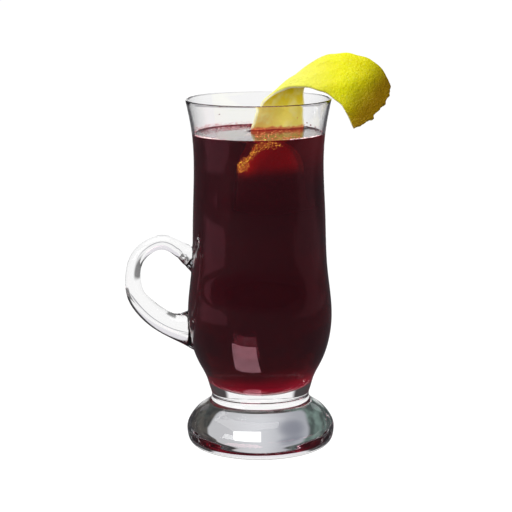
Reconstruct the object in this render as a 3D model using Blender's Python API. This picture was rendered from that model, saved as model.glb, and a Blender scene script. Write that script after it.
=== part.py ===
"""A hot red drink in a footed glass mug, with a wide twist of lemon peel hung over the rim.

Three pieces: the glass (one turned vessel fused with its side handle), the drink in it, and the peel, which
starts outside the rim, bends over it, goes down into the drink at the back and curls up again near the front
wall. Metres, +Z up. The origin is the centre of the foot's flat underside, and the handle points along -X.
"""

import bpy
import numpy as np

# Radii and heights of the glass, from the foot up.
BASE_RADIUS, FOOT_RADIUS, FOOT_WIDEST = 0.0280, 0.03285, 0.0085
NECK_RADIUS, NECK_HEIGHT = 0.0217, 0.0224
BULGE_RADIUS, BULGE_HEIGHT = 0.03205, 0.059
WAIST_RADIUS, WAIST_HEIGHT = 0.02855, 0.126
HEIGHT, RIM_THICKNESS, RIM_RADIUS = 0.155, 0.0016, 0.0319
CAVITY_FLOOR = 0.0245

# The outside of the glass as (radius, height), from the base to just under the rounded rim.
OUTSIDE = (
    (BASE_RADIUS, 0.0), (0.0302, 0.0012), (0.0321, 0.0045), (FOOT_RADIUS, FOOT_WIDEST), (0.0309, 0.0130),
    (0.0268, 0.0173), (0.0228, 0.0202), (NECK_RADIUS, NECK_HEIGHT), (0.0224, 0.0260), (0.0240, 0.0312),
    (0.0275, 0.0382), (0.0306, 0.0470), (BULGE_RADIUS, BULGE_HEIGHT), (0.0302, 0.0800), (0.0293, 0.1030),
    (WAIST_RADIUS, WAIST_HEIGHT), (0.0294, 0.1410), (RIM_RADIUS, HEIGHT - RIM_THICKNESS / 2),
)
# The cavity, from its floor on the axis to the rim.
INSIDE = (
    (0.0, CAVITY_FLOOR), (0.0095, 0.0254), (0.0168, 0.0285), (0.0216, 0.0340), (0.0267, 0.0440),
    (0.0293, 0.0590), (0.0278, 0.0800), (0.0265, 0.1120), (0.0263, 0.1260), (0.0275, 0.1410),
    (RIM_RADIUS - RIM_THICKNESS, HEIGHT - RIM_THICKNESS / 2),
)
SIDES = 48
GAP = 0.0003
DRINK_LEVEL = 0.140

# The handle's middle line in the plane Y = 0, as (x, z, thickness in that plane, width along Y).
HANDLE = (
    (-0.0262, 0.0825, 0.0120, 0.0150), (-0.0318, 0.0862, 0.0086, 0.0108), (-0.0366, 0.0895, 0.0070, 0.0088),
    (-0.0424, 0.0917, 0.0065, 0.0082), (-0.0494, 0.0894, 0.0065, 0.0082), (-0.0545, 0.0837, 0.0064, 0.0082),
    (-0.0560, 0.0757, 0.0069, 0.0084), (-0.0550, 0.0682, 0.0080, 0.0088), (-0.0514, 0.0629, 0.0092, 0.0092),
    (-0.0457, 0.0578, 0.0099, 0.0096), (-0.0393, 0.0543, 0.0110, 0.0106), (-0.0330, 0.0530, 0.0156, 0.0130),
    (-0.0270, 0.0525, 0.0215, 0.0165),
)
HANDLE_SIDES = 14
# The handle's ends stop this deep in the wall, measured from the cavity.
HANDLE_END_DEPTH = 0.0011

# The two long edges of the peel, front and back, from its free end outside the glass to its sunken end.
PEEL_FRONT_EDGE = (
    (0.0416, -0.0040, 0.1421), (0.0365, 0.0000, 0.1520), (0.0243, 0.0035, 0.1589), (0.0095, 0.0055, 0.1582),
    (0.0003, 0.0075, 0.1495), (-0.0026, 0.0088, 0.1397), (-0.0052, 0.0098, 0.1270), (-0.0078, 0.0040, 0.1120),
    (-0.0086, -0.0090, 0.1085), (-0.0088, -0.0185, 0.1190), (-0.0080, -0.0205, 0.1300), (-0.0075, -0.0185, 0.1385),
)
PEEL_BACK_EDGE = (
    (0.0585, 0.0115, 0.1584), (0.0521, 0.0145, 0.1679), (0.0372, 0.0170, 0.1728), (0.0239, 0.0175, 0.1678),
    (0.0201, 0.0170, 0.1545), (0.0198, 0.0158, 0.1397), (0.0192, 0.0146, 0.1270), (0.0190, 0.0070, 0.1120),
    (0.0190, -0.0060, 0.1085), (0.0195, -0.0135, 0.1190), (0.0195, -0.0150, 0.1300), (0.0180, -0.0135, 0.1385),
)
# How far the ribbon's middle stands out of the line between its edges, towards the zest, at those stations.
PEEL_DOME = (0.0018, 0.0016, 0.0008, 0.0001, 0.0001, 0.0006, 0.0012, 0.0018, 0.0018, 0.0018, 0.0018, 0.0018)
PEEL_THICKNESS = 0.0023
PEEL_EDGE_THICKNESS = 0.0014
PEEL_END_BOW = 0.0032
PEEL_STEPS_ACROSS = 7
# The sunken end is rounded over this share of the length, down to the last small share of it.
PEEL_ROUND_END, PEEL_TIP = 0.12, 0.03


def spline_through(points, steps):
    """Places on the natural cubic spline through the points, by chord length, with so many steps a span."""
    points = np.asarray(points, float)
    last = len(points) - 1
    span = np.linalg.norm(np.diff(points, axis=0), axis=1)
    knots = np.concatenate([[0.0], np.cumsum(span)])
    system = np.eye(last + 1)
    wanted = np.zeros_like(points)
    slope = np.diff(points, axis=0) / span[:, None]
    for i in range(1, last):
        system[i, i - 1 : i + 2] = span[i - 1], 2 * (span[i - 1] + span[i]), span[i]
        wanted[i] = 6 * (slope[i] - slope[i - 1])
    bend = np.linalg.solve(system, wanted)
    at = np.interp(np.linspace(0, last, last * steps + 1), np.arange(last + 1), knots)
    i = np.clip(np.searchsorted(knots, at, side="right") - 1, 0, last - 1)
    b = ((at - knots[i]) / span[i])[:, None]
    a = 1 - b
    curve = a * points[i] + b * points[i + 1]
    return curve + ((a**3 - a) * bend[i] + (b**3 - b) * bend[i + 1]) * span[i, None] ** 2 / 6


def material(name, colour, roughness, metallic=0.0):
    made = bpy.data.materials.new(name)
    made.use_nodes = True
    shader = made.node_tree.nodes["Principled BSDF"]
    shader.inputs["Base Color"].default_value = (*colour, 1)
    shader.inputs["Roughness"].default_value = roughness
    shader.inputs["Metallic"].default_value = metallic
    return made


def add_object(name, points, edges, faces, surface=None):
    """A mesh object shaded smooth. Without a material it is a hidden helper."""
    mesh = bpy.data.meshes.new(name)
    mesh.from_pydata(np.asarray(points, float).tolist(), edges, faces)
    mesh.shade_smooth()
    made = bpy.data.objects.new(name, mesh)
    bpy.context.scene.collection.objects.link(made)
    if surface:
        mesh.materials.append(surface)
    else:
        made.hide_render = True
        made.display_type = "WIRE"
    return made


def tube_faces(rings, sides):
    """Quads between neighbouring rings of points, and one flat face on each end."""
    first = np.arange(rings - 1)[:, None] * sides
    here = np.arange(sides)
    after = (here + 1) % sides
    quads = np.stack([first + here, first + after, first + sides + after, first + sides + here], axis=-1)
    ends = [list(here[::-1]), list(here + (rings - 1) * sides)]
    return quads.reshape(-1, 4).tolist() + [[int(i) for i in end] for end in ends]


def turned(name, profile, surface=None):
    """The solid that a profile of (radius, height), run down its outer side, makes when turned about Z."""
    points = [(radius, 0.0, height) for radius, height in profile]
    edges = [(i, i + 1) for i in range(len(points) - 1)]
    made = add_object(name, points, edges, [], surface)
    screw = made.modifiers.new("Turn", "SCREW")
    screw.steps = screw.render_steps = SIDES
    screw.use_merge_vertices = True
    screw.merge_threshold = 0.00001
    screw.use_smooth_shade = True
    return made


def combine(target, other, operation):
    boolean = target.modifiers.new(operation.title(), "BOOLEAN")
    boolean.operation = operation
    boolean.solver = "EXACT"
    boolean.object = other


def cavity_curve(clearance):
    """The cavity's (radius, height) curve from the axis up, moved into the wall by the clearance."""
    mirrored = (-INSIDE[1][0], INSIDE[1][1])
    curve = spline_through((mirrored, *INSIDE), 2)[2:]
    along = np.gradient(curve, axis=0)
    along /= np.linalg.norm(along, axis=1)[:, None]
    moved = curve + clearance * np.stack([along[:, 1], -along[:, 0]], axis=1)
    moved[0] = 0.0, CAVITY_FLOOR - clearance
    return moved


def glass_profile():
    """From the cavity's floor up its wall, over the round rim, down the outside and in along the base."""
    bead = RIM_THICKNESS / 2
    turn = np.linspace(np.pi, 0, 7)[1:-1]
    rim = np.stack([np.cos(turn), np.sin(turn)], axis=1) * bead + (RIM_RADIUS - bead, HEIGHT - bead)
    outside = spline_through(OUTSIDE, 2)[::-1]
    return np.vstack([cavity_curve(0.0), rim, outside, [(0.0, 0.0)]])


def handle():
    """An oval rod along the handle's middle line, flared at both ends, which reach into the wall only."""
    line = spline_through(HANDLE, 2)
    along = np.gradient(line[:, :2], axis=0)
    along /= np.linalg.norm(along, axis=1)[:, None]
    angle = np.linspace(0, 2 * np.pi, HANDLE_SIDES, endpoint=False)
    across = np.cos(angle) * line[:, 2:3] / 2
    x = line[:, 0:1] - along[:, 1:2] * across
    z = line[:, 1:2] + along[:, 0:1] * across
    y = np.sin(angle) * line[:, 3:4] / 2
    points = np.stack([x, y, z], axis=-1).reshape(-1, 3)
    rod = add_object("handle_rod", points, [], tube_faces(len(line), HANDLE_SIDES))
    core = cavity_curve(HANDLE_END_DEPTH)
    above = (0.0, core[-1, 1])
    combine(rod, turned("wall_core", np.vstack([above, core[::-1]])), "DIFFERENCE")
    return rod


def peel(name, clearance, surface=None):
    """A ribbon between its two edges, domed towards the zest side and grown all round by the clearance."""
    stations = np.hstack([PEEL_FRONT_EDGE, PEEL_BACK_EDGE, np.reshape(PEEL_DOME, (-1, 1))])
    route = spline_through(stations, 4)
    front, back, rise = route[:, :3], route[:, 3:6], route[:, 6:]
    middle = (front + back) / 2
    run = np.concatenate([[0.0], np.cumsum(np.linalg.norm(np.diff(middle, axis=0), axis=1))])
    to_end = (1 - run / run[-1]) / PEEL_ROUND_END
    round_end = np.sqrt(1 - (1 - np.clip(to_end, PEEL_TIP, 1)) ** 2)[:, None]
    half = (back - front) / 2 * round_end
    width = np.linalg.norm(half, axis=1)[:, None]
    across = half / width
    along = np.gradient(middle, axis=0)
    zest = np.cross(across, along)
    zest /= np.linalg.norm(zest, axis=1)[:, None]
    along = np.cross(zest, across)
    middle[0] -= along[0] * clearance
    middle[-1] += along[-1] * clearance
    place = np.linspace(-1, 1, PEEL_STEPS_ACROSS + 1)
    dome = rise * (1 - (round_end * place) ** 2)
    thick = PEEL_EDGE_THICKNESS + (PEEL_THICKNESS - PEEL_EDGE_THICKNESS) * (1 - place**6)
    ribbon = middle[:, None] + (half + across * clearance)[:, None] * place[:, None]
    ribbon[0] -= along[0] * PEEL_END_BOW * (1 - place[:, None] ** 2)
    outer = ribbon + zest[:, None] * (dome + thick / 2 + clearance)[..., None]
    inner = ribbon + zest[:, None] * (dome - thick / 2 - clearance)[..., None]
    rings = np.concatenate([outer, inner[:, ::-1]], axis=1)
    faces = tube_faces(len(middle), rings.shape[1])
    return add_object(name, rings.reshape(-1, 3), [], faces, surface)


def drink(surface):
    """Fills the cavity up to its level, a gap clear of the glass, with a slot where the peel dips in."""
    wall = cavity_curve(-GAP)
    below = wall[wall[:, 1] < DRINK_LEVEL - GAP]
    edge = np.interp(DRINK_LEVEL, wall[:, 1], wall[:, 0])
    top = [(0.0, DRINK_LEVEL), (edge, DRINK_LEVEL)]
    made = turned("drink", np.vstack([top, below[::-1]]), surface)
    combine(made, peel("peel_room", GAP), "DIFFERENCE")
    return made


def main():
    for old in list(bpy.data.objects):
        bpy.data.objects.remove(old, do_unlink=True)
    glass = turned("glass", glass_profile(), material("clear_glass", (0.92, 0.94, 0.95), 0.02))
    combine(glass, handle(), "UNION")
    drink(material("red_drink", (0.12, 0.008, 0.02), 0.05))
    peel("lemon_peel", 0.0, material("lemon_zest", (0.85, 0.80, 0.06), 0.45))


main()
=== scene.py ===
"""A hot red drink in a footed glass mug with a side handle, and a twist of lemon peel over its rim.

The glass, the drink and the peel replace the plain solids of the frame with fine surfaces of the same form.
Bubbles, foam and drops are added where the drink meets the glass and the peel. Metres, +Z up.
"""

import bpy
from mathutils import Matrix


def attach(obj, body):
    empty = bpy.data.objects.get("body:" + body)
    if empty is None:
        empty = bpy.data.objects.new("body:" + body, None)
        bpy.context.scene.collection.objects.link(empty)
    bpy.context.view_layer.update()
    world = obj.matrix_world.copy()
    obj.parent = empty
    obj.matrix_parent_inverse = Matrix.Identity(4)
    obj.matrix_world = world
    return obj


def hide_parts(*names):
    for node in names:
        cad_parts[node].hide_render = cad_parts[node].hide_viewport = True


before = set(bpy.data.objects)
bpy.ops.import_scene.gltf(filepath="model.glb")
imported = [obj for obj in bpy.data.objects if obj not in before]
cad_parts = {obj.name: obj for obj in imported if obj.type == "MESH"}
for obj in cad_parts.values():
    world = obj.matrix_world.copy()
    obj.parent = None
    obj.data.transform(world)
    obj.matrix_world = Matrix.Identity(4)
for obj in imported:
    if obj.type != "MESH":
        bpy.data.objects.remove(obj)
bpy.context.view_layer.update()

import bpy
import numpy as np
from mathutils import Matrix, Vector

# The glass as (radius, height) points: its outside from the foot up, and its cavity from the axis up. The
# outside is the solid's with a sharper lower corner. The cavity is shallower and the upper wall thinner.
HEIGHT, BASE_RADIUS, RIM_RADIUS, RIM_THICKNESS = 0.155, 0.0280, 0.0319, 0.0009
OUTSIDE = (
    (BASE_RADIUS, 0.0), (0.0303, 0.0010), (0.0321, 0.0032), (0.0327, 0.0056), (0.03285, 0.0085),
    (0.0309, 0.0130), (0.0268, 0.0173), (0.0228, 0.0202), (0.0217, 0.0224), (0.0224, 0.0260),
    (0.0240, 0.0312), (0.0275, 0.0382), (0.0306, 0.0470), (0.03205, 0.0590), (0.0302, 0.0800),
    (0.0293, 0.1030), (0.02855, 0.1260), (0.0294, 0.1410),
)
INSIDE = (
    (0.0, 0.0262), (0.0080, 0.0269), (0.0138, 0.0294), (0.0190, 0.0341), (0.0252, 0.0430),
    (0.0293, 0.0590), (0.0280, 0.0800), (0.0269, 0.1120), (0.0270, 0.1260), (0.0282, 0.1410),
)
GLASS_SIDES, CORE_SIDES, CURVE_STEPS, RIM_STEPS, BASE_RINGS = 168, 96, 8, 12, 7

# The handle's middle line in the plane Y = 0, as (x, z, thickness in that plane, width along Y).
HANDLE = (
    (-0.0262, 0.0825, 0.0120, 0.0150), (-0.0318, 0.0862, 0.0086, 0.0108), (-0.0366, 0.0895, 0.0070, 0.0088),
    (-0.0424, 0.0917, 0.0065, 0.0082), (-0.0494, 0.0894, 0.0065, 0.0082), (-0.0545, 0.0837, 0.0064, 0.0082),
    (-0.0560, 0.0757, 0.0069, 0.0084), (-0.0550, 0.0682, 0.0080, 0.0088), (-0.0514, 0.0629, 0.0092, 0.0092),
    (-0.0457, 0.0578, 0.0099, 0.0096), (-0.0393, 0.0543, 0.0110, 0.0106), (-0.0330, 0.0530, 0.0156, 0.0130),
    (-0.0270, 0.0525, 0.0215, 0.0165),
)
HANDLE_END_DEPTH = 0.0011
HANDLE_STEPS, HANDLE_SIDES = 10, 56

# The drink reaches this far into the wall, and climbs the wall and the peel in a meniscus.
DRINK_LEVEL, WALL_OVERLAP = 0.1393, 0.0002
MENISCUS_RISE, MENISCUS_REACH = 0.0008, 0.0010

# Floating bubbles have their centres this far above the level, within the drink's edge.
FLOAT_HEIGHT, SURFACE_RADIUS, FLOAT_RADIUS = 0.0001, 0.0281, 0.0262

# The peel's two long edges, from its free end outside the glass to its sunken end, and its dome between them.
PEEL_FRONT_EDGE = (
    (0.0416, -0.0040, 0.1421), (0.0365, 0.0000, 0.1520), (0.0243, 0.0035, 0.1589),
    (0.0095, 0.0055, 0.1582), (0.0003, 0.0075, 0.1495), (-0.0026, 0.0088, 0.1397),
    (-0.0052, 0.0098, 0.1270), (-0.0078, 0.0040, 0.1120), (-0.0086, -0.0090, 0.1085),
    (-0.0088, -0.0185, 0.1190), (-0.0080, -0.0205, 0.1300), (-0.0075, -0.0185, 0.1385),
)
PEEL_BACK_EDGE = (
    (0.0585, 0.0115, 0.1584), (0.0521, 0.0145, 0.1679), (0.0372, 0.0170, 0.1728),
    (0.0239, 0.0175, 0.1678), (0.0201, 0.0170, 0.1545), (0.0198, 0.0158, 0.1397),
    (0.0192, 0.0146, 0.1270), (0.0190, 0.0070, 0.1120), (0.0190, -0.0060, 0.1085),
    (0.0195, -0.0135, 0.1190), (0.0195, -0.0150, 0.1300), (0.0180, -0.0135, 0.1385),
)
PEEL_DOME = (0.0018, 0.0016, 0.0008, 0.0001, 0.0001, 0.0006, 0.0012, 0.0018, 0.0018, 0.0018, 0.0018, 0.0018)
PEEL_THICKNESS, PEEL_EDGE_THICKNESS = 0.0023, 0.0014
PEEL_ROUND_END, PEEL_TIP = 0.12, 0.004
PEEL_STEPS, PEEL_PLACES = 32, 91

# How far the ragged free end reaches past its corners, from the front corner to the back one.
END_PLACES = (-1.0, -0.9, -0.58, -0.47, -0.38, -0.30, -0.10, 0.16, 0.42, 0.73, 1.0)
END_OUTLINE = (0.0, 0.0007, 0.0020, 0.0023, 0.0035, 0.0025, 0.0026, 0.0029, 0.0024, 0.0013, 0.0)

# The sunken end's left and right outline by height, and the line of golden foam along it as (x, z, width).
SUNKEN_HEIGHTS = (0.1190, 0.1218, 0.1269, 0.1288, 0.1308, 0.1320, 0.1331, 0.1356, 0.1375, 0.1382, 0.1386)
SUNKEN_LEFT = (
    -0.0084, -0.0082, -0.0084, -0.0083, -0.0069, -0.0046, -0.0035, -0.0026, -0.0012, 0.0010, 0.0050,
)
SUNKEN_RIGHT = (0.0180, 0.0180, 0.0178, 0.0173, 0.0166, 0.0161, 0.0154, 0.0130, 0.0098, 0.0082, 0.0060)
SUNKEN_FOAM = (
    (-0.0082, 0.1266, 0.0030), (-0.0086, 0.1280, 0.0042), (-0.0084, 0.1298, 0.0042),
    (-0.0074, 0.1314, 0.0030), (-0.0059, 0.1324, 0.0018), (-0.0040, 0.1330, 0.0014),
    (-0.0030, 0.1354, 0.0022), (-0.0017, 0.1378, 0.0028), (-0.0002, 0.1390, 0.0030),
    (0.0036, 0.1394, 0.0028), (0.0065, 0.1389, 0.0020), (0.0095, 0.1379, 0.0010),
)

# Clusters of foam along the waterline: count, first and last angle in degrees, and how far up they reach.
FOAM_CLUSTERS = (
    (260, 96, 160, 0.0014), (110, 200, 232, 0.0006), (40, 232, 262, 0.0004),
    (90, 290, 342, 0.0005), (50, -20, 70, 0.0010), (80, 160, 204, 0.0008),
)

# Drops on the wall above the drink: angle in degrees, height and radius.
WALL_DROPS = (
    (-41, 0.1456, 0.00035), (-46, 0.1468, 0.0003), (-34, 0.1443, 0.0003), (-57, 0.1494, 0.0002),
    (128, 0.1450, 0.0003), (205, 0.1440, 0.0003), (60, 0.1462, 0.00035), (-120, 0.1450, 0.0002),
)

# The photograph's camera: its place, how far it looks down, its roll and its lens on a 36 mm sensor.
CAMERA_PLACE, CAMERA_DOWN, CAMERA_ROLL, CAMERA_LENS = (-0.0015, -0.818, 0.2411), 10.79, 0.41, 132.4


def spline_through(points, steps):
    """Places on the natural cubic spline through the points, by chord length, with so many steps a span."""
    points = np.asarray(points, float)
    last = len(points) - 1
    span = np.linalg.norm(np.diff(points, axis=0), axis=1)
    knots = np.concatenate([[0.0], np.cumsum(span)])
    slope = np.diff(points, axis=0) / span[:, None]
    inner = np.arange(1, last)
    system = np.eye(last + 1)
    system[inner, inner - 1] = span[:-1]
    system[inner, inner] = 2 * (span[:-1] + span[1:])
    system[inner, inner + 1] = span[1:]
    wanted = np.zeros_like(points)
    wanted[inner] = 6 * np.diff(slope, axis=0)
    bend = np.linalg.solve(system, wanted)
    at = np.interp(np.linspace(0, last, last * steps + 1), np.arange(last + 1), knots)
    i = np.clip(np.searchsorted(knots, at, side="right") - 1, 0, last - 1)
    b = ((at - knots[i]) / span[i])[:, None]
    a = 1 - b
    curve = a * points[i] + b * points[i + 1]
    return curve + ((a**3 - a) * bend[i] + (b**3 - b) * bend[i + 1]) * span[i, None] ** 2 / 6


def path_length(points):
    """The length along a row of points, from 0 at the first."""
    return np.concatenate([[0.0], np.cumsum(np.linalg.norm(np.diff(points, axis=0), axis=1))])


def unit(vectors):
    return vectors / np.linalg.norm(vectors, axis=-1, keepdims=True)


def smooth_step(low, high, value):
    """0 below low, 1 above high, and 3t^2 - 2t^3 between them."""
    t = np.clip((value - low) / (high - low), 0, 1)
    return t * t * (3 - 2 * t)


def wave_noise(seed, waves, *coordinates):
    """Soft noise of about unit size: a sum of sines whose directions, lengths and phases the seed draws."""
    draw = np.random.default_rng(seed)
    total = 0.0
    for _ in range(waves):
        way = draw.normal(size=len(coordinates))
        total = total + np.sin(sum(w * c for w, c in zip(way, coordinates)) + draw.uniform(0, 2 * np.pi))
    return total / np.sqrt(waves / 2)


def make_mesh(name, points, faces):
    mesh = bpy.data.meshes.new(name)
    mesh.from_pydata(np.asarray(points, float).tolist(), [], [list(map(int, face)) for face in faces])
    mesh.shade_smooth()
    return mesh


def link_object(name, mesh):
    made = bpy.data.objects.new(name, mesh)
    bpy.context.scene.collection.objects.link(made)
    return made


def add_piece(name, mesh, material, node=None):
    """A finished piece: it rides on the one body and may stand for a plain solid."""
    piece = link_object(name, mesh)
    mesh.materials.clear()
    mesh.materials.append(material)
    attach(piece, "root")
    if node:
        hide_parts(node)


def ring_faces(rows, columns):
    """Quads of a grid whose columns close into rings, row after row."""
    here = np.arange(columns)
    after = (here + 1) % columns
    first = np.arange(rows - 1)[:, None] * columns
    low, next_low = first + here, first + after
    return np.stack([low, next_low, next_low + columns, low + columns], -1).reshape(-1, 4)


def closed_tube(rings, start, end):
    """Points and faces of rings of points in a row, closed by fans to the start and the end point."""
    rows, columns = rings.shape[:2]
    points = np.concatenate([rings.reshape(-1, 3), [start, end]])
    here = np.arange(columns)
    after = (here + 1) % columns
    last = (rows - 1) * columns
    fan_in = np.stack([after, here, np.full(columns, rows * columns)], -1)
    fan_out = np.stack([here + last, after + last, np.full(columns, rows * columns + 1)], -1)
    return points, ring_faces(rows, columns).tolist() + fan_in.tolist() + fan_out.tolist()


def turned(profile, sides, waver=None):
    """The (radius, height) profile carried round Z from axis to axis: x and y are the radius, plus a waver if
    there is one, times the angle's cosine and sine."""
    angle = np.linspace(0, 2 * np.pi, sides, endpoint=False)
    radius = np.repeat(profile[1:-1, :1], sides, 1)
    height = np.repeat(profile[1:-1, 1:], sides, 1)
    if waver is not None:
        radius = radius + waver(angle[None], height, radius)
    rings = np.stack([radius * np.cos(angle), radius * np.sin(angle), height], -1)
    start, end = ((0.0, 0.0, profile[i, 1]) for i in (0, -1))
    return closed_tube(rings, start, end)


class Value:
    """A shader socket that takes part in Python arithmetic: each operation adds a Math node."""

    def __init__(self, tree, socket):
        self.tree, self.socket = tree, socket

    def math(self, operation, *others):
        node = self.tree.nodes.new("ShaderNodeMath")
        node.operation = operation
        for place, item in zip(node.inputs, (self, *others)):
            feed(self.tree, place, item)
        return Value(self.tree, node.outputs[0])

    def __add__(self, other):
        return self.math("ADD", other)

    def __sub__(self, other):
        return self.math("SUBTRACT", other)

    def __rsub__(self, other):
        return (self * -1.0) + other

    def __mul__(self, other):
        return self.math("MULTIPLY", other)

    def __truediv__(self, other):
        return self.math("DIVIDE", other)

    __radd__, __rmul__ = __add__, __mul__

    def step(self, low, high):
        """0 to 1 as the value goes from low to high, with soft ends."""
        node = self.tree.nodes.new("ShaderNodeMapRange")
        node.interpolation_type = "SMOOTHSTEP"
        for place, item in zip(node.inputs, (self, low, high, 0.0, 1.0)):
            feed(self.tree, place, item)
        return Value(self.tree, node.outputs[0])


def feed(tree, place, item):
    """Links or sets one input socket."""
    if isinstance(item, Value):
        tree.links.new(item.socket, place)
    elif isinstance(item, tuple) and len(item) == 3 and place.type == "RGBA":
        place.default_value = (*item, 1.0)
    else:
        place.default_value = item


class Recipe:
    """One node material under construction."""

    def __init__(self, name):
        self.material = bpy.data.materials.new(name)
        self.material.use_nodes = True
        self.tree = self.material.node_tree
        self.shader = self.tree.nodes["Principled BSDF"]
        self.output = self.tree.nodes["Material Output"]

    def node(self, kind, settings=(), output=0, **inputs):
        """Any other node: its type, its settings, which go first, and the values or links of its sockets. A
        socket goes by its name, with _ for a space, or by its number after an i."""
        made = self.tree.nodes.new("ShaderNode" + kind)
        for name, setting in dict(settings).items():
            setattr(made, name, setting)
        for name, item in inputs.items():
            key = int(name[1:]) if name[1:].isdigit() else name.replace("_", " ")
            feed(self.tree, made.inputs[key], item)
        return Value(self.tree, made.outputs[output])

    def axes(self, place):
        """The x, y and z of a place or a direction."""
        return [self.node("SeparateXYZ", output=axis, Vector=place) for axis in "XYZ"]

    def noise(self, scale, detail, place=None, roughness=0.5):
        place = place or self.node("TexCoord", output="Object")
        return self.node("TexNoise", Vector=place, Scale=scale, Detail=detail, Roughness=roughness)

    def mix(self, share, first, second):
        """The first colour where share is 0 and the second where it is 1."""
        return self.node("Mix", {"data_type": "RGBA"}, output=2, i0=share, i6=first, i7=second)

    def attribute(self, name):
        return self.node("Attribute", {"attribute_name": name}, output="Fac")

    def bump(self, height, distance):
        return self.node("Bump", Height=height, Distance=distance, Strength=1.0)

    def set(self, **inputs):
        for name, item in inputs.items():
            feed(self.tree, self.shader.inputs[name.replace("_", " ")], item)
        return self.material

    def let_lamps_through(self, tint):
        """Lamp rays pass the surface as through a clear pane of this tint."""
        lamp = self.node("LightPath", output="Is Shadow Ray")
        clear = self.node("BsdfTransparent", Color=tint)
        shaded = Value(self.tree, self.shader.outputs[0])
        both = self.node("MixShader", i0=lamp, i1=shaded, i2=clear)
        self.tree.links.new(both.socket, self.output.inputs["Surface"])

    def absorb(self, colour, density):
        inside = self.node("VolumeAbsorption", Color=colour, Density=density)
        self.tree.links.new(inside.socket, self.output.inputs["Volume"])


def grey(value):
    return (value, value, value)


def clear_glass_material():
    """Clear glass that is very slightly cloudy in patches."""
    recipe = Recipe("clear_glass")
    clouded = recipe.noise(55.0, 2.0).step(0.5, 0.8) * 0.012
    recipe.set(Base_Color=(1.0, 1.0, 1.0), Roughness=clouded, IOR=1.5, Transmission_Weight=1.0)
    recipe.let_lamps_through((0.94, 0.95, 0.95))
    return recipe.material


def red_drink_material():
    """A clear part that absorbs, red light going a few centimetres and the rest a few millimetres, and a part
    that scatters like the fruit's cloudiness. A painted red glow low in the drink, reaching a little higher
    on the right, stands in for the light that rises through the foot, and a faint painted glow covers the
    rest."""
    recipe = Recipe("red_drink")
    x, _, z = recipe.axes(recipe.node("TexCoord", output="Object"))
    cloud = recipe.noise(90.0, 2.0).step(0.3, 0.7)
    # Painted glow: red low in the drink, reaching a little higher on the right, and faint elsewhere.
    lit = 1 - (z - x * 0.10 + cloud * 0.002).step(0.0275, 0.0435)
    lit = lit * lit * (0.12 + z.step(0.0266, 0.0290) * 0.88)
    recipe.set(
        Base_Color=recipe.mix(cloud, (0.21, 0.010, 0.028), (0.23, 0.012, 0.032)),
        Emission_Color=recipe.mix(lit, (0.0040, 0.0015, 0.0020), (0.135, 0.0, 0.0080)),
        Emission_Strength=1.0,
        Roughness=0.0,
        IOR=1.34,
        Transmission_Weight=0.92,
        Specular_Tint=(0.25, 0.25, 0.25),
    )
    recipe.let_lamps_through((0.8, 0.5, 0.5))
    recipe.absorb((0.857, 0.0, 0.167), 420.0)
    return recipe.material


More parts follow.
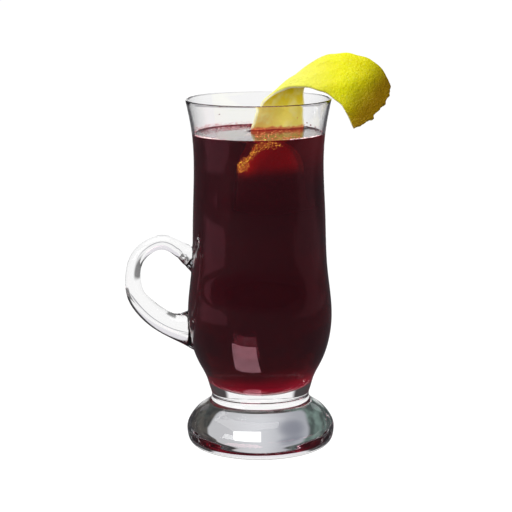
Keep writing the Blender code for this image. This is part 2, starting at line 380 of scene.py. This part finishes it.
def lemon_peel_material():
    """Zest with fine pores on one side, pith on the other and cream cut edges. Painted shade browns the zest
    towards the free end and darkens the pith higher up under the arch, and a painted highlight makes the zest
    paler at the left. Just above the drink it is stained red. In the drink its outline is golden, with orange
    inside that on the left, and the rest is red, down to dark red, and painted shade takes it to near black
    lower down. Painted glows stand in for the light that comes through the peel: on the pith and the zest
    above the drink and on the stain, and in the drink golden along the outline, orange on the left, red on
    the back and red to dark red in front."""
    recipe = Recipe("lemon_zest")
    place = recipe.node("TexCoord", output="Object")
    x, y, z = recipe.axes(place)
    zest, cut, outline = (recipe.attribute(name) for name in ("zest", "cut", "outline"))
    patches = recipe.noise(75.0, 3.0)
    pores = recipe.noise(1100.0, 2.0)
    dots = recipe.node("TexVoronoi", Vector=place, Scale=900.0)
    # Painted shade: the zest turns brown towards the free end, to the right and lower down.
    shaded_far_end = x - (z - 0.150) * 0.9 + (patches - 0.5) * 0.012
    skin = recipe.mix(patches.step(0.35, 0.68), (0.86, 0.80, 0.000), (0.93, 0.93, 0.004))
    skin = recipe.mix((1 - dots.step(0.05, 0.35)) * 0.50, skin, (0.66, 0.50, 0.000))
    skin = recipe.mix(pores.step(0.55, 0.72) * 0.35, skin, (0.98, 0.98, 0.14))
    # Painted highlight: the zest is paler, cream-yellow, towards the left.
    skin = recipe.mix((1 - x.step(0.012, 0.038)) * 0.5, skin, (0.95, 0.96, 0.28))
    # The skin before the painted shade below, reused for a painted glow.
    unshaded_skin = skin
    skin = recipe.mix(shaded_far_end.step(0.029, 0.048) * 0.86, skin, (0.31, 0.12, 0.000))
    fibres = recipe.noise(230.0, 4.0)
    # Painted shade: the pith is darker olive higher up, under the arch, and lighter lower down.
    low = 1 - z.step(0.1425, 0.1560)
    pith = recipe.mix(low, (0.74, 0.58, 0.008), (0.88, 0.72, 0.14))
    pith = recipe.mix(low * (1 - x.step(0.000, 0.012)) * 0.7, pith, (0.80, 0.48, 0.11))
    pith = recipe.mix(fibres.step(0.40, 0.75) * 0.55, pith, (0.93, 0.84, 0.34))
    pith = recipe.mix(cut, pith, (0.96, 0.90, 0.52))
    colour = recipe.mix(zest.step(0.35, 0.65), pith, skin)
    ragged = recipe.noise(520.0, 3.0)
    height = z - DRINK_LEVEL - (ragged - 0.5) * 0.0026
    stain = (1 - height.step(0.0008, 0.0022)) * 0.9
    colour = recipe.mix(stain, colour, (0.52, 0.105, 0.045))
    golden = recipe.mix(ragged.step(0.35, 0.65), (0.62, 0.30, 0.03), (0.80, 0.85, 0.12))
    glowing = recipe.mix(x.step(-0.0060, 0.0040), (0.95, 0.26, 0.010), (0.80, 0.006, 0.015))
    sunken_colour = recipe.mix(outline * (1 - x.step(0.004, 0.016) * 0.75), glowing, golden)
    # Painted shade: near black lower down in the drink.
    sunken_colour = recipe.mix((z - x * 0.10).step(0.1205, 0.1290), (0.02, 0.001, 0.003), sunken_colour)
    above = z.step(DRINK_LEVEL - 0.0008, DRINK_LEVEL)
    colour = recipe.mix(above, sunken_colour, colour)
    # Painted glow on the pith above the drink, standing in for light through the peel.
    inside = above * (1 - zest) * (1 - stain)
    inside = inside * (1 - z.step(0.1500, 0.1640)) * (1 - x.step(0.022, 0.028))
    # Where a painted golden glow runs along the outline under the drink.
    gleam = outline * (1 - above) * z.step(0.121, 0.128)
    glow = recipe.mix(inside * 0.50, grey(0.0), pith)
    # Painted glow on the zest above the drink, none at the shaded free end, and a painted red glow on the
    # stain.
    glow = recipe.mix(zest * above * (1 - shaded_far_end.step(0.020, 0.040)) * 0.25, glow, unshaded_skin)
    glow = recipe.mix(stain * above * (1 - zest) * 0.55, glow, (0.60, 0.12, 0.05))
    # Painted red glow on the back of the leg under the drink.
    leg = y.step(0.000, 0.004) * (1 - above) * z.step(0.1120, 0.1360)
    glow = recipe.mix(leg * 0.5, glow, (1.0, 0.06, 0.04))
    glow = recipe.mix(gleam * 0.5 * (1 - x.step(0.003, 0.014) * 0.8), glow, golden)
    # Painted orange glow on the left under the drink.
    ember = (1 - above) * (1 - outline) * (1 - x.step(-0.0065, 0.0050))
    ember = ember * z.step(0.1215, 0.1275) * (1 - z.step(0.1310, 0.1340))
    glow = recipe.mix(ember * 0.85, glow, (0.62, 0.26, 0.000))
    # Painted glow in front under the drink: red in the lobe, dark red lower down.
    depth = (1 - above) * (1 - y.step(0.000, 0.004)) * (1 - ember)
    lobe = z.step(0.1235, 0.1300) * (1 - outline)
    deep_red = recipe.mix(lobe, (0.020, 0.006, 0.007), (0.230, 0.001, 0.006))
    glow = recipe.mix(depth * (1 - gleam), glow, deep_red)
    recipe.set(
        Base_Color=colour,
        Roughness=0.52 - zest * 0.14,
        Specular_IOR_Level=0.35,
        Specular_Tint=(1.0, 0.97, 0.45),
        Emission_Color=glow,
        Emission_Strength=1.0,
        Subsurface_Weight=0.10,
        Subsurface_Radius=(0.004, 0.003, 0.0005),
        Subsurface_Scale=0.4,
        Normal=recipe.bump((pores + dots * 0.8) * zest + fibres * 0.5, 0.00022),
    )
    return recipe.material


def bubble_material(name, pale, deep, gleam=0.0):
    """Bubbles or drops speckled with two colours, with a painted glow where gleam is over 0."""
    recipe = Recipe(name)
    speckle = recipe.noise(2000.0, 1.0)
    colour = recipe.mix(speckle.step(0.45, 0.55), deep, pale)
    recipe.set(Base_Color=colour, Roughness=0.15, IOR=1.34, Transmission_Weight=0.35)
    recipe.set(Emission_Color=colour, Emission_Strength=gleam)
    return recipe.material


def moved_curve(points, clearance):
    """A curve from the axis up, moved by the clearance to the right of its run, that is outwards."""
    along = unit(np.gradient(points, axis=0))
    moved = points + clearance * np.stack([along[:, 1], -along[:, 0]], axis=1)
    moved[0, 0] = 0.0
    return moved


def cavity_curve(steps, clearance=0.0):
    """The cavity's (radius, height) curve from the axis up, moved into the wall by the clearance."""
    mirrored = (-INSIDE[1][0], INSIDE[1][1])
    top = (RIM_RADIUS - RIM_THICKNESS, HEIGHT - RIM_THICKNESS / 2)
    return moved_curve(spline_through((mirrored, *INSIDE, top), steps)[steps:], clearance)


def cavity_radius(height):
    """The cavity's radius at a height."""
    cavity = cavity_curve(CURVE_STEPS)
    return np.interp(height, cavity[:, 1], cavity[:, 0])


def blown_waver(angle, height, radius):
    """A slow unevenness of the wall: three sines of angle and height, a few hundredths of a millimetre high,
    that fade out at the foot."""
    wave = np.sin(2 * angle + 60 * height + 0.4) + 0.7 * np.sin(3 * angle - 85 * height + 2.1)
    wave = wave + 0.5 * np.sin(5 * angle + 140 * height)
    return 0.00003 * wave * smooth_step(0.02, 0.05, height) * smooth_step(0.0, 0.01, radius)


def glass_blank():
    """The vessel without its handle: cavity, round rim, outside and base as one profile turned about Z."""
    bead = RIM_THICKNESS / 2
    turn = np.linspace(np.pi, 0, RIM_STEPS + 1)[1:-1]
    rim = np.stack([np.cos(turn), np.sin(turn)], axis=1) * bead + (RIM_RADIUS - bead, HEIGHT - bead)
    outside = spline_through((*OUTSIDE, (RIM_RADIUS, HEIGHT - bead)), CURVE_STEPS)[::-1]
    base = np.stack([np.linspace(BASE_RADIUS, 0, BASE_RINGS + 1)[1:], np.zeros(BASE_RINGS)], axis=1)
    profile = np.vstack([cavity_curve(CURVE_STEPS), rim, outside, base])
    return turned(profile, GLASS_SIDES, blown_waver)


def handle_rod():
    """An oval carried along the handle's line: its offsets in the line's plane and along Y follow cosine and
    sine. Its size wavers by a few hundredths, most where it was pressed onto the wall at the top."""
    line = spline_through(HANDLE, HANDLE_STEPS)
    along = unit(np.gradient(line[:, :2], axis=0))
    run = path_length(line[:, :2])[:, None] * 1000
    angle = np.linspace(0, 2 * np.pi, HANDLE_SIDES, endpoint=False)
    waver = wave_noise(31, 14, run * 1.3, 2.2 * np.cos(angle), 2.2 * np.sin(angle))
    slow = wave_noise(32, 8, run * 0.2, 0.9 * np.cos(angle), 0.9 * np.sin(angle))
    size = 1 + 0.035 * waver * np.exp(-(((run - 7) / 4) ** 2)) + 0.008 * slow
    across = np.cos(angle) * line[:, 2:3] / 2 * size
    x = line[:, 0:1] - along[:, 1:2] * across
    z = line[:, 1:2] + along[:, 0:1] * across
    y = np.sin(angle) * line[:, 3:4] / 2 * size
    rings = np.stack([x, y, z], axis=-1)
    return closed_tube(rings, rings[0].mean(0), rings[-1].mean(0))


def combined(first, second, operation):
    """The mesh of a Boolean of two meshes."""
    body, tool = link_object("body", first), link_object("tool", second)
    boolean = body.modifiers.new("Boolean", "BOOLEAN")
    boolean.operation = operation
    boolean.solver = "EXACT"
    boolean.object = tool
    graph = bpy.context.evaluated_depsgraph_get()
    made = bpy.data.meshes.new_from_object(body.evaluated_get(graph))
    bpy.data.objects.remove(body)
    bpy.data.objects.remove(tool)
    return made


def make_glass(material):
    """The turned vessel with the handle's rod, whose ends stop inside the wall, joined to it."""
    core = cavity_curve(4, HANDLE_END_DEPTH)
    above = np.array([[0.0, core[-1, 1]]])
    core_mesh = make_mesh("core", *turned(np.vstack([core, above]), CORE_SIDES))
    core_mesh.flip_normals()
    rod = combined(make_mesh("rod", *handle_rod()), core_mesh, "DIFFERENCE")
    whole = combined(make_mesh("blank", *glass_blank()), rod, "UNION")
    whole.shade_smooth()
    add_piece("glass_mug", whole, material, "glass")


def peel_route(steps):
    """The peel's middle line, its directions across, towards the zest and along, its half width, its dome,
    how round its end is and the length run so far. The half width ends as a quarter circle does."""
    stations = np.hstack([PEEL_FRONT_EDGE, PEEL_BACK_EDGE, np.reshape(PEEL_DOME, (-1, 1))])
    route = spline_through(stations, steps)
    front, back, rise = route[:, :3], route[:, 3:6], route[:, 6:]
    middle = (front + back) / 2
    run = path_length(middle)
    to_end = (1 - run / run[-1]) / PEEL_ROUND_END
    round_end = np.sqrt(1 - (1 - np.clip(to_end, PEEL_TIP, 1)) ** 2)[:, None]
    across = unit(back - front)
    half = np.linalg.norm(back - front, axis=1)[:, None] / 2 * round_end
    zest = unit(np.cross(across, np.gradient(middle, axis=0)))
    return middle, across, zest, np.cross(zest, across), half, rise, round_end, run


def make_peel(material):
    """A ribbon between its edges. Across it, place runs from -1 at the front edge to 1 at the back one. The
    middle stands out by the dome times 1 - place^2, and the thickness falls to the edges as 1 - place^6."""
    middle, across, zest, along, half, rise, round_end, run = peel_route(PEEL_STEPS)
    place = np.sin(np.linspace(-np.pi / 2, np.pi / 2, PEEL_PLACES)) * np.ones_like(run)[:, None]
    run_mm, place_mm = run[:, None] * 1000, half * 1000 * place
    sideways = half * place + 0.00025 * wave_noise(5, 12, run_mm * 0.45, 0 * place_mm + 3) * place
    sunken = smooth_step(0.0, 0.004, run - run[middle[:, 2].argmin()])[:, None]
    left = np.interp(middle[:, 2], SUNKEN_HEIGHTS, SUNKEN_LEFT)[:, None]
    right = np.interp(middle[:, 2], SUNKEN_HEIGHTS, SUNKEN_RIGHT)[:, None]
    outline = np.where(place < 0, middle[:, :1] - left, right - middle[:, :1]) * place
    sideways += (outline - sideways) * sunken
    dome = rise * (1 - (round_end * place) ** 2)
    thick = PEEL_EDGE_THICKNESS + (PEEL_THICKNESS - PEEL_EDGE_THICKNESS) * (1 - place**6)
    ribbon = middle[:, None] + across[:, None] * sideways[..., None]
    ribbon += zest[:, None] * (0.00022 * wave_noise(8, 14, run_mm * 0.3, place_mm * 0.3))[..., None]
    bow = np.interp(place, END_PLACES, END_OUTLINE)
    bow += 0.00022 * wave_noise(21, 16, place * 22) * (1 - place**8)
    ribbon -= along[0] * (bow * np.exp(-((run[:, None] / 0.004) ** 2)))[..., None]
    pores = smooth_step(0.3, 1.6, wave_noise(13, 40, run_mm * 3.6, place_mm * 3.6))
    swells = wave_noise(17, 24, run_mm * 1.1, place_mm * 1.1)
    outer = ribbon + zest[:, None] * (dome + thick / 2 - 0.00007 * pores + 0.00003 * swells)[..., None]
    inner = ribbon + zest[:, None] * (dome - thick / 2 + 0.00005 * swells)[..., None]
    shares = np.linspace(0, 1, 6)[1:-1]
    swell = np.sin(np.pi * shares) * PEEL_EDGE_THICKNESS * 0.3
    back_side = outer[:, -1:] + (inner[:, -1:] - outer[:, -1:]) * shares[:, None]
    back_side = back_side + across[:, None] * swell[:, None]
    front_side = inner[:, :1] + (outer[:, :1] - inner[:, :1]) * shares[:, None]
    front_side = front_side - across[:, None] * swell[:, None]
    rings = np.concatenate([outer, back_side, inner[:, ::-1], front_side], axis=1)
    columns, width = rings.shape[1], place.shape[1]
    last = (len(rings) - 1) * columns
    top = np.arange(width - 1)
    under = width + len(shares) + (width - 1 - top)
    cap = np.stack([top + 1, top, under, under - 1], -1)
    back_ring = np.arange(width - 1, width + len(shares) + 1)
    front_ring = np.append(np.arange(2 * width + len(shares) - 1, columns), 0)
    faces = ring_faces(len(rings), columns).tolist() + cap.tolist() + (cap[:, ::-1] + last).tolist()
    for edge in (back_ring, front_ring):
        faces += [edge[::-1].tolist(), (edge + last).tolist()]
    mesh = make_mesh("lemon_twist", rings.reshape(-1, 3), faces)
    flat, sides = np.ones_like(place), np.ones((len(rings), len(shares)))
    rim = smooth_step(0.94, 0.985, np.abs(place))
    near_edge = (1 - np.abs(place)) * np.abs(outline[:, [0, -1]]).max(1)[:, None]
    near_end = (run[-1] - run)[:, None]
    border = 1 - smooth_step(0.0008, 0.0030, np.minimum(near_edge, near_end))
    layers = {
        "zest": (flat, sides * (1 - shares * 1.6), 0 * flat, sides * (shares * 1.6 - 0.6)),
        "cut": (0 * flat, sides, rim[:, ::-1], sides),
        "outline": (border, sides, border[:, ::-1], sides),
    }
    for name, parts in layers.items():
        values = np.clip(np.concatenate(parts, axis=1), 0, 1).ravel().astype(np.float32)
        mesh.attributes.new(name, "FLOAT", "POINT").data.foreach_set("value", values)
    add_piece("lemon_twist", mesh, material, "lemon_peel")


def peel_at_level():
    """The line in which the peel's middle sheet meets the drink's surface at the back, as (x, y) points."""
    middle, across, zest, _, half, rise, _, run = peel_route(20)
    place = np.linspace(-1, 1, 41)
    ribbon = middle[:, None] + across[:, None] * (half * place)[..., None]
    ribbon += zest[:, None] * (rise * (1 - place**2))[..., None]
    leg = ribbon[run < run[-1] * 0.6]
    rows = np.abs(leg[..., 2] - DRINK_LEVEL).argmin(axis=0)
    return leg[rows, np.arange(len(place)), :2]


def make_drink(material):
    """The cavity's form a little into the wall, closed by a level top that rises towards wall and peel as
    rise * exp(-distance / reach)."""
    wall = cavity_curve(CURVE_STEPS, WALL_OVERLAP)
    wall = wall[wall[:, 1] < DRINK_LEVEL + MENISCUS_RISE]
    angle = np.linspace(0, 2 * np.pi, GLASS_SIDES, endpoint=False)
    inner_radius = cavity_radius(DRINK_LEVEL)
    top_radius = np.interp(DRINK_LEVEL + MENISCUS_RISE, wall[:, 1], wall[:, 0])
    near_wall, further_in = np.geomspace(0.0001, 0.006, 22), np.linspace(0.0065, inner_radius, 40)[:-1]
    inward = np.concatenate([[0.0], near_wall, further_in])
    radius = np.concatenate([[top_radius], inner_radius - inward])
    radius = np.repeat(radius[:, None], len(angle), 1)
    x, y = radius * np.cos(angle), radius * np.sin(angle)
    line = peel_at_level()
    distance = np.sqrt((x[..., None] - line[:, 0]) ** 2 + (y[..., None] - line[:, 1]) ** 2).min(-1)
    peel_gap = np.maximum(distance - PEEL_THICKNESS / 2, 0)
    wall_gap = np.maximum(inner_radius - radius, 0)
    lift = np.exp(-wall_gap / MENISCUS_REACH) + 0.8 * np.exp(-peel_gap / MENISCUS_REACH)
    z = DRINK_LEVEL + MENISCUS_RISE * np.minimum(lift, 1)
    top = np.stack([x, y, z], -1)
    side_radius, side_height = wall[1:, :1], np.repeat(wall[1:, 1:], len(angle), 1)
    side = np.stack([side_radius * np.cos(angle), side_radius * np.sin(angle), side_height], -1)
    rings = np.concatenate([side, top])
    mesh = make_mesh("red_drink_body", *closed_tube(rings, (0, 0, wall[0, 1]), (0, 0, DRINK_LEVEL)))
    add_piece("red_drink_body", mesh, material, "drink")


def bubbles(name, centres, radii, material, flatten=1.0):
    """Small balls joined in one mesh, each of two poles and five rings of eight points: the cosine of the
    latitude times the cosine and sine of the longitude, and the sine of the latitude."""
    height = np.linspace(-np.pi / 2, np.pi / 2, 7)[1:-1, None]
    angle = np.linspace(0, 2 * np.pi, 8, endpoint=False)[None]
    flat = np.cos(height)
    rings = np.stack([flat * np.cos(angle), flat * np.sin(angle), np.sin(height) + 0 * angle], -1)
    ball, faces = closed_tube(rings, (0, 0, -1), (0, 0, 1))
    centres, radii = np.asarray(centres), np.asarray(radii)
    points = centres[:, None] + radii[:, None, None] * ball * (1, 1, flatten)
    step = len(ball)
    every = [[corner + step * i for corner in face] for i in range(len(centres)) for face in faces]
    add_piece(name, make_mesh(name, points.reshape(-1, 3), every), material)


def on_wall(angle, height, inset):
    """Points on the cavity's wall at this angle in degrees and this height, moved inwards by the inset."""
    radius = cavity_radius(height) - inset
    turn = np.radians(angle)
    return np.stack([radius * np.cos(turn), radius * np.sin(turn), height], -1)


def make_waterline_foam(draw):
    """Clusters where the drink meets the wall, and a patch that floats at the back left. The sizes of the
    clusters' bubbles are a product of two draws, and their heights go with the square of one."""
    places, sizes = [], []
    for count, first, last, reach in FOAM_CLUSTERS:
        size = draw.uniform(0.00009, 0.00026, count) * draw.uniform(0.6, 1.0, count)
        angle = draw.uniform(first, last, count) + draw.normal(0, 2, count)
        height = DRINK_LEVEL + MENISCUS_RISE * 0.8 + reach * draw.uniform(0, 1, count) ** 2
        places.append(on_wall(angle, height, size))
        sizes.append(size)
    count = 330
    size = draw.uniform(0.00008, 0.00020, count)
    angle = np.radians(draw.normal(128, 19, count))
    radius = SURFACE_RADIUS - (0.0010 + 0.0090 * draw.uniform(0, 1, count) ** 1.6)
    height = np.full(count, DRINK_LEVEL + FLOAT_HEIGHT)
    places.append(np.stack([radius * np.cos(angle), radius * np.sin(angle), height], -1))
    sizes.append(size)
    # Pink foam with a faint painted glow.
    foam = bubble_material("pink_foam", (1.0, 0.86, 0.86), (0.72, 0.22, 0.28), 0.2)
    bubbles("waterline_foam", np.concatenate(places), np.concatenate(sizes), foam)


def make_waterline_beads(draw):
    """Paler single bubbles on the front waterline, more of them on the left than on the right, with a painted
    glow that makes them white glints.
    """
    count = 110
    size = draw.uniform(0.00010, 0.00024, count)
    on_left = draw.uniform(0, 1, count) < 0.6
    angle = np.where(on_left, draw.uniform(198, 236, count), draw.uniform(296, 338, count))
    height = DRINK_LEVEL + MENISCUS_RISE + size * 0.6 - 0.0003 * draw.uniform(0, 1, count) ** 2
    # Painted glow: the beads show as white glints.
    beads = bubble_material("pale_beads", (1.0, 0.97, 0.96), (0.80, 0.55, 0.55), 0.9)
    bubbles("waterline_beads", on_wall(angle, height, size * 0.8), size, beads)


def make_peel_foam(draw):
    """Bubbles that cling to the peel's front at the drink's surface, and others that float before it."""
    line = peel_at_level()
    count = 110
    size = draw.uniform(0.00008, 0.00020, count)
    spot = draw.uniform(0, 1, count)
    x, y = (np.interp(spot, np.linspace(0, 1, len(line)), line[:, i]) for i in (0, 1))
    height = DRINK_LEVEL + MENISCUS_RISE * 0.4 + 0.0010 * draw.uniform(0, 1, count) ** 2
    clinging = np.column_stack([x, y - PEEL_THICKNESS / 2 - size * 0.6, height])
    count = 260
    floating_size = draw.uniform(0.00009, 0.00023, count)
    x = draw.uniform(-0.0015, 0.0185, count)
    y = 0.0140 - PEEL_THICKNESS - 0.036 * draw.uniform(0, 1, count) ** 0.8
    y = np.maximum(y, 0.0004 - np.sqrt(FLOAT_RADIUS**2 - x**2))
    floating = np.column_stack([x, y, np.full(count, DRINK_LEVEL + FLOAT_HEIGHT)])
    # Orange foam with a painted glow.
    orange = bubble_material("peel_foam", (0.85, 0.38, 0.15), (0.48, 0.06, 0.03), 0.7)
    bubbles("peel_foam", np.concatenate([clinging, floating]), np.concatenate([size, floating_size]), orange)


def make_sunken_foam(draw):
    """Golden bubbles between the sunken lobe and the front wall, from the lobe's outline inwards, with a
    strong painted glow.
    """
    count = 1150
    size = draw.uniform(0.00008, 0.00021, count)
    share = draw.uniform(0, 1, count) ** 1.25
    line = np.array(SUNKEN_FOAM)
    x, z, width = (np.interp(share, np.linspace(0, 1, len(line)), line[:, i]) for i in range(3))
    depth = (width * draw.uniform(0, 1, count) ** 1.6)[:, None]
    inward = unit(np.stack([0.0040 - x, 0.1300 - z], -1)) * depth
    x = x + inward[:, 0] + draw.normal(0, 0.0004, count)
    z = z + inward[:, 1] + draw.normal(0, 0.0004, count)
    radius = cavity_radius(z) - size - 0.0001
    y = -np.sqrt(radius**2 - x**2)
    # Strong painted golden glow.
    golden = bubble_material("golden_foam", (0.56, 0.92, 0.12), (0.14, 0.02, 0.00), 2.0)
    bubbles("sunken_foam", np.stack([x, y, z], -1), size, golden)


def make_wall_drops():
    """A few flat drops that were left on the wall above the drink."""
    angle, height, radius = np.array(WALL_DROPS).T
    red = bubble_material("drop_red", (0.5, 0.05, 0.08), (0.3, 0.01, 0.02))
    bubbles("wall_drops", on_wall(angle, height, radius * 0.4), radius, red, 0.8)


def light(name, place, target, size, power):
    """A rectangular soft lamp at a place, turned to its target."""
    lamp = bpy.data.lights.new(name, "AREA")
    lamp.shape = "RECTANGLE"
    lamp.size, lamp.size_y = size
    lamp.energy = power
    made = bpy.data.objects.new(name, lamp)
    bpy.context.scene.collection.objects.link(made)
    made.location = place
    made.rotation_euler = (Vector(target) - Vector(place)).to_track_quat("-Z", "Y").to_euler()


def seen_as(recipe, straight, bent, mirrored, scattered):
    """The surroundings' colour for each kind of ray: straight from the camera, bent by glass, mirrored in it,
    or gone out from a matt surface."""
    colour = straight
    others = (("Transmission Depth", bent), ("Glossy Depth", mirrored), ("Diffuse Depth", scattered))
    for name, other in others:
        colour = recipe.mix(recipe.node("LightPath", output=name).step(0.4, 0.6), colour, other)
    return colour


def sectors(x, y):
    """Two masks by direction: straight behind the glass for the camera, and the flags on both sides."""
    ahead = y / (x * x + y * y + 1e-9).math("SQRT")
    return ahead.step(0.94, 0.985), ahead.step(0.55, 0.70) * (1 - ahead.step(0.94, 0.985))


def floor_material():
    """A light table that glows evenly for the camera. Mirrored paths see it dark but for the part behind the
    glass, a rosy patch in front, a violet strip on the left and a dim one on the right. Paths bent by the
    glass see it dark in bands near the foot, in an arc behind it and in the flags."""
    recipe = Recipe("pale_floor")
    x, y, _ = recipe.axes(recipe.node("TexCoord", output="Object"))
    behind, flags = sectors(x, y)
    reach = (x * x + y * y).math("SQRT")
    flags = flags * reach.step(0.34, 0.40)
    left = x * -1.0
    near = left.step(0.03, 0.05) * (1 - left.step(0.20, 0.30))
    near = near * (1 - y.step(-0.06, -0.02)) * y.step(-0.40, -0.25)
    near = near + (1 - reach.step(0.05, 0.08)) * (1 - y.step(0.0, 0.03)) * 0.8
    band = left.step(0.030, 0.040) * (1 - left.step(0.062, 0.068))
    band = band * y.step(-0.10, -0.05) * (1 - y.step(0.05, 0.08))
    near = near + band * 0.8
    arc = y.step(0.45, 0.50) * (1 - y.step(0.75, 0.80))
    arc = arc * (1 - x.math("ABSOLUTE").step(0.10, 0.14)) * 0.7
    bent = recipe.mix(flags * 0.8, grey(1.0), grey(0.0))
    bent = recipe.mix(arc, bent, (0.25, 0.25, 0.28))
    bent = recipe.mix(near.math("MINIMUM", 0.95), bent, grey(0.0))
    mirrored = recipe.mix(behind, (0.036, 0.033, 0.042), grey(1.0))
    patch = (x + 0.044 - (y + 0.048) * 0.94).step(0.0, 0.002)
    patch = patch * (1 - (x - 0.0027 - (y + 0.048) * 0.23).step(-0.002, 0.0))
    slanted = y + x * 0.20
    patch = patch * slanted.step(-0.1205, -0.1185) * (1 - slanted.step(-0.050, -0.047))
    mottled = recipe.mix(recipe.noise(60.0, 2.0).step(0.3, 0.7), (3.4, 1.6, 1.95), (4.8, 2.4, 2.9))
    mirrored = recipe.mix(patch, mirrored, mottled)
    wavy = (recipe.noise(5.0, 2.0) - 0.5) * 0.35
    turn = y / left.math("MAXIMUM", 0.001) + wavy
    start = ((reach - 0.5).math("MAXIMUM", 0.0) * 0.8 - 0.85).math("MINIMUM", -0.10)
    bands = reach.step(0.28, 0.36) * (1 - reach.step(0.86, 0.96) * (1 - reach.step(1.16, 1.26)))
    strip = (turn - start).step(0.0, 0.06) * (1 - turn.step(0.12, 0.40)) * left.step(0.0, 0.02)
    mirrored = recipe.mix(strip * bands, mirrored, (0.45, 0.16, 0.22))
    right = x.step(0.42, 0.50) * (1 - y.math("ABSOLUTE").step(0.25, 0.45))
    mirrored = recipe.mix(right, mirrored, (0.20, 0.09, 0.11))
    recipe.set(
        Base_Color=grey(0.08),
        Roughness=0.9,
        Specular_IOR_Level=0.0,
        Emission_Color=seen_as(recipe, grey(1.06), bent, mirrored, grey(0.25)),
        Emission_Strength=0.96,
    )
    return recipe.material


class WorldRecipe(Recipe):
    """The world's nodes under construction."""

    def __init__(self, name):
        self.world = bpy.data.worlds.new(name)
        self.world.use_nodes = True
        self.tree = self.world.node_tree


def make_world():
    """A white studio for the camera. Bent rays see it white ahead and dark at the sides. Mirrored rays see a
    grey panel ahead with a white window and a darker spot in it, streaked sides, and white low behind."""
    recipe = WorldRecipe("studio")
    way = recipe.node("TexCoord", output="Generated")
    x, y, z = recipe.axes(way)
    behind = sectors(x, y)[0]
    ahead = recipe.mix(z.step(0.10, 0.14), grey(1.0), (0.84, 0.82, 0.86))
    bent = recipe.mix((y - x.math("ABSOLUTE") * 1.5).step(0.0, 0.2), grey(0.06), ahead)
    tilt = (z - 0.32).math("MAXIMUM", 0.0)
    panel = (x + 0.49 - tilt * 0.3).step(0.0, 0.06) * (1 - (x + tilt * 0.7).step(0.50, 0.54))
    panel = panel * y.step(0.0, 0.1) * (1 - z.step(0.50, 0.56)) * z.step(0.22, 0.26)
    shade = recipe.mix(x.step(-0.34, 0.02), (0.40, 0.41, 0.45), (0.66, 0.67, 0.70))
    shade = recipe.mix(x.step(0.0, 0.35), shade, (0.56, 0.56, 0.58))
    spot = (1 - ((x + 0.27) * (x + 0.27) * 38.0 + (z - 0.33) * (z - 0.33) * 80.0).step(0.0, 1.0)) * 0.62
    shade = recipe.mix(spot, shade, (0.17, 0.18, 0.23))
    window = x.step(-0.005, 0.005) * (1 - x.step(0.225, 0.235))
    window = window * (1 - z.step(0.303, 0.306)) * z.step(0.24, 0.26)
    shade = recipe.mix(window, shade, grey(1.6))
    streaks = recipe.noise(5.0, 3.0, way, 0.6).step(0.40, 0.68)
    left_side = recipe.mix(streaks, (0.043, 0.043, 0.044), (0.105, 0.094, 0.084))
    right_side = recipe.mix(streaks, (0.075, 0.098, 0.093), (0.190, 0.265, 0.240))
    sides = recipe.mix(x.step(-0.30, -0.20), right_side, left_side)
    sides = recipe.mix(z.step(0.20, 0.28) * y.step(-0.2, 0.0), (0.040, 0.038, 0.044), sides)
    edges = x.math("ABSOLUTE").step(0.93, 0.99) * (1 - z.step(0.05, 0.15))
    sides = recipe.mix(edges, sides, grey(0.55))
    mirrored = recipe.mix(panel, sides, shade)
    mirrored = recipe.mix(behind * (1 - z.step(0.22, 0.26)), mirrored, grey(1.45))
    colour = seen_as(recipe, grey(1.0), bent, mirrored, grey(0.12))
    feed(recipe.tree, recipe.tree.nodes["Background"].inputs["Color"], colour)
    bpy.context.scene.world = recipe.world


def make_stage():
    """The floor, just under the foot, the world and two soft lamps."""
    low = -0.0003
    corners = [(-5, -5, low), (5, -5, low), (5, 6, low), (-5, 6, low)]
    floor = link_object("floor", make_mesh("floor", corners, [(0, 1, 2, 3)]))
    floor.data.materials.append(floor_material())
    make_world()
    light("top_softbox", (-0.25, -0.05, 1.2), (0, 0, 0.1), (1.4, 1.4), 10.5)
    light("left_softbox", (-1.0, -0.75, 0.60), (0, 0, 0.10), (0.5, 0.5), 4.5)
    cycles = bpy.context.scene.cycles
    cycles.max_bounces, cycles.glossy_bounces, cycles.transmission_bounces = 24, 12, 24
    cycles.transparent_max_bounces = 24


def make_camera():
    """The photograph's camera, which looks along +Y and down."""
    lens = bpy.data.cameras.new("camera")
    lens.lens, lens.sensor_width = CAMERA_LENS, 36.0
    camera = bpy.data.objects.new("camera", lens)
    bpy.context.scene.collection.objects.link(camera)
    tilt = Matrix.Rotation(np.radians(90 - CAMERA_DOWN), 4, "X")
    roll = Matrix.Rotation(np.radians(-CAMERA_ROLL), 4, "Z")
    camera.matrix_world = Matrix.Translation(CAMERA_PLACE) @ (tilt @ roll)
    bpy.context.scene.camera = camera


make_glass(clear_glass_material())
make_peel(lemon_peel_material())
make_drink(red_drink_material())
random_draws = np.random.default_rng(41)
make_waterline_foam(random_draws)
make_waterline_beads(random_draws)
make_peel_foam(random_draws)
make_sunken_foam(random_draws)
make_wall_drops()
make_stage()
make_camera()
bpy.context.scene.view_settings.view_transform = "Standard"
